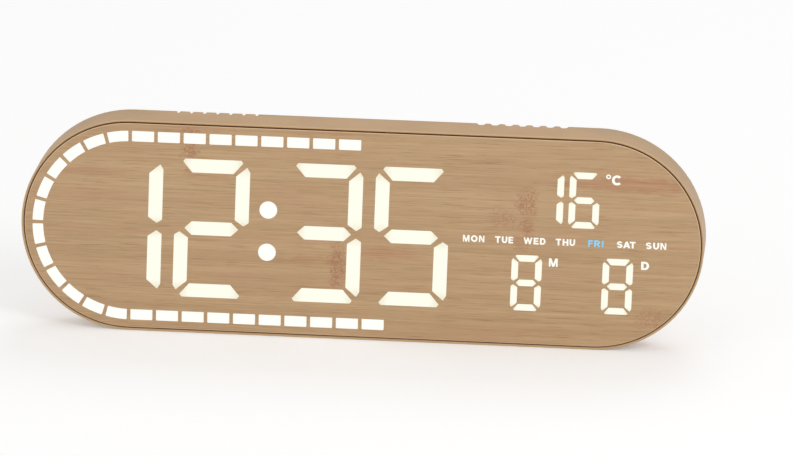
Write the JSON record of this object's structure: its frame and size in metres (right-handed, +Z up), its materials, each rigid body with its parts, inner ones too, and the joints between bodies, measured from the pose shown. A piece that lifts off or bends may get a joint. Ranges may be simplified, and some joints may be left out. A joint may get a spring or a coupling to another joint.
{
  "type": "digital led desk clock",
  "caption": "Wide stadium-shaped digital LED clock with a bamboo face, tall lit digits, a seconds ring round the edge, folding rear legs and wall keyholes.",
  "frame": {"origin": "under the middle of the clock on its flat lower edge, half-way through its depth", "axes": "+X to the right of someone reading the display, +Y from the display towards the rear, +Z up"},
  "size_m": [0.38, 0.026, 0.121],
  "materials": {
    "case_plastic": "satin tan moulded plastic",
    "bamboo": "fine straight bamboo grain, matt lacquer",
    "lit_lens": "milky lens, lit from behind",
    "diffuser": "thin milky film",
    "tape": "thin double-sided foam tape",
    "reflector_plastic": "white moulded plastic",
    "board": "white lacquered circuit board",
    "lamp": "small surface-mounted light",
    "screw_steel": "zinc-plated",
    "pin_steel": "bright drawn pin",
    "switch_plastic": "black moulded plastic",
    "button_plastic": "satin tan moulded plastic",
    "contact_metal": "plated spring metal",
    "cell_steel": "brushed",
    "inlet_plastic": "black moulded plastic",
    "buzzer_plastic": "black moulded plastic",
    "chip_plastic": "black epoxy",
    "can_metal": "drawn can",
    "bead_glass": "glossy black epoxy"
  },
  "bodies": {
    "housing": {"rear_housing": "case_plastic", "front_panel": "bamboo", "hour_digits": "lit_lens", "minute_digits": "lit_lens", "temperature_digits": "lit_lens", "month_digit": "lit_lens", "day_digit": "lit_lens", "colon_dots": "lit_lens", "seconds_ring": "lit_lens", "diffuser_sheet": "diffuser", "panel_tape": "tape", "reflector_frame": "reflector_plastic", "display_board": "board", "display_lamps": "lamp", "case_screws": "screw_steel", "leg_pins": "pin_steel", "push_switches": "switch_plastic", "cell_contacts": "contact_metal", "coin_cell": "cell_steel", "power_inlet": "inlet_plastic", "inlet_pin": "contact_metal", "alarm_buzzer": "buzzer_plastic", "driver_chips": "chip_plastic", "clock_crystal": "can_metal", "supply_capacitor": "chip_plastic", "voltage_regulator": "chip_plastic", "thermistor": "bead_glass"},
    "set_button": {"set_button": "button_plastic", "set_plunger": "switch_plastic"},
    "up_button": {"up_button": "button_plastic", "up_plunger": "switch_plastic"},
    "down_button": {"down_button": "button_plastic", "down_plunger": "switch_plastic"},
    "left_leg": {"left_leg": "case_plastic"},
    "right_leg": {"right_leg": "case_plastic"},
    "battery_door": {"battery_door": "case_plastic"}
  },
  "joints": [
    {"name": "set_button_travel", "type": "slide", "parent": "housing", "child": "set_button", "axis": [0, -1, 0], "range_m": [0, 0.0005], "stiffness_N_per_m": 800},
    {"name": "up_button_travel", "type": "slide", "parent": "housing", "child": "up_button", "axis": [0, -1, 0], "range_m": [0, 0.0005], "stiffness_N_per_m": 800},
    {"name": "down_button_travel", "type": "slide", "parent": "housing", "child": "down_button", "axis": [0, -1, 0], "range_m": [0, 0.0005], "stiffness_N_per_m": 800},
    {"name": "left_leg_fold", "type": "hinge", "parent": "housing", "child": "left_leg", "pos_m": [-0.105, 0.0105, 0.0026], "axis": [-1, 0, 0], "range_deg": [0, 90]},
    {"name": "right_leg_fold", "type": "hinge", "parent": "housing", "child": "right_leg", "pos_m": [0.105, 0.0105, 0.0026], "axis": [-1, 0, 0], "range_deg": [0, 90]},
    {"name": "battery_door_slide", "type": "slide", "parent": "housing", "child": "battery_door", "axis": [0, 0, -1], "range_m": [0, 0.006]}
  ]
}
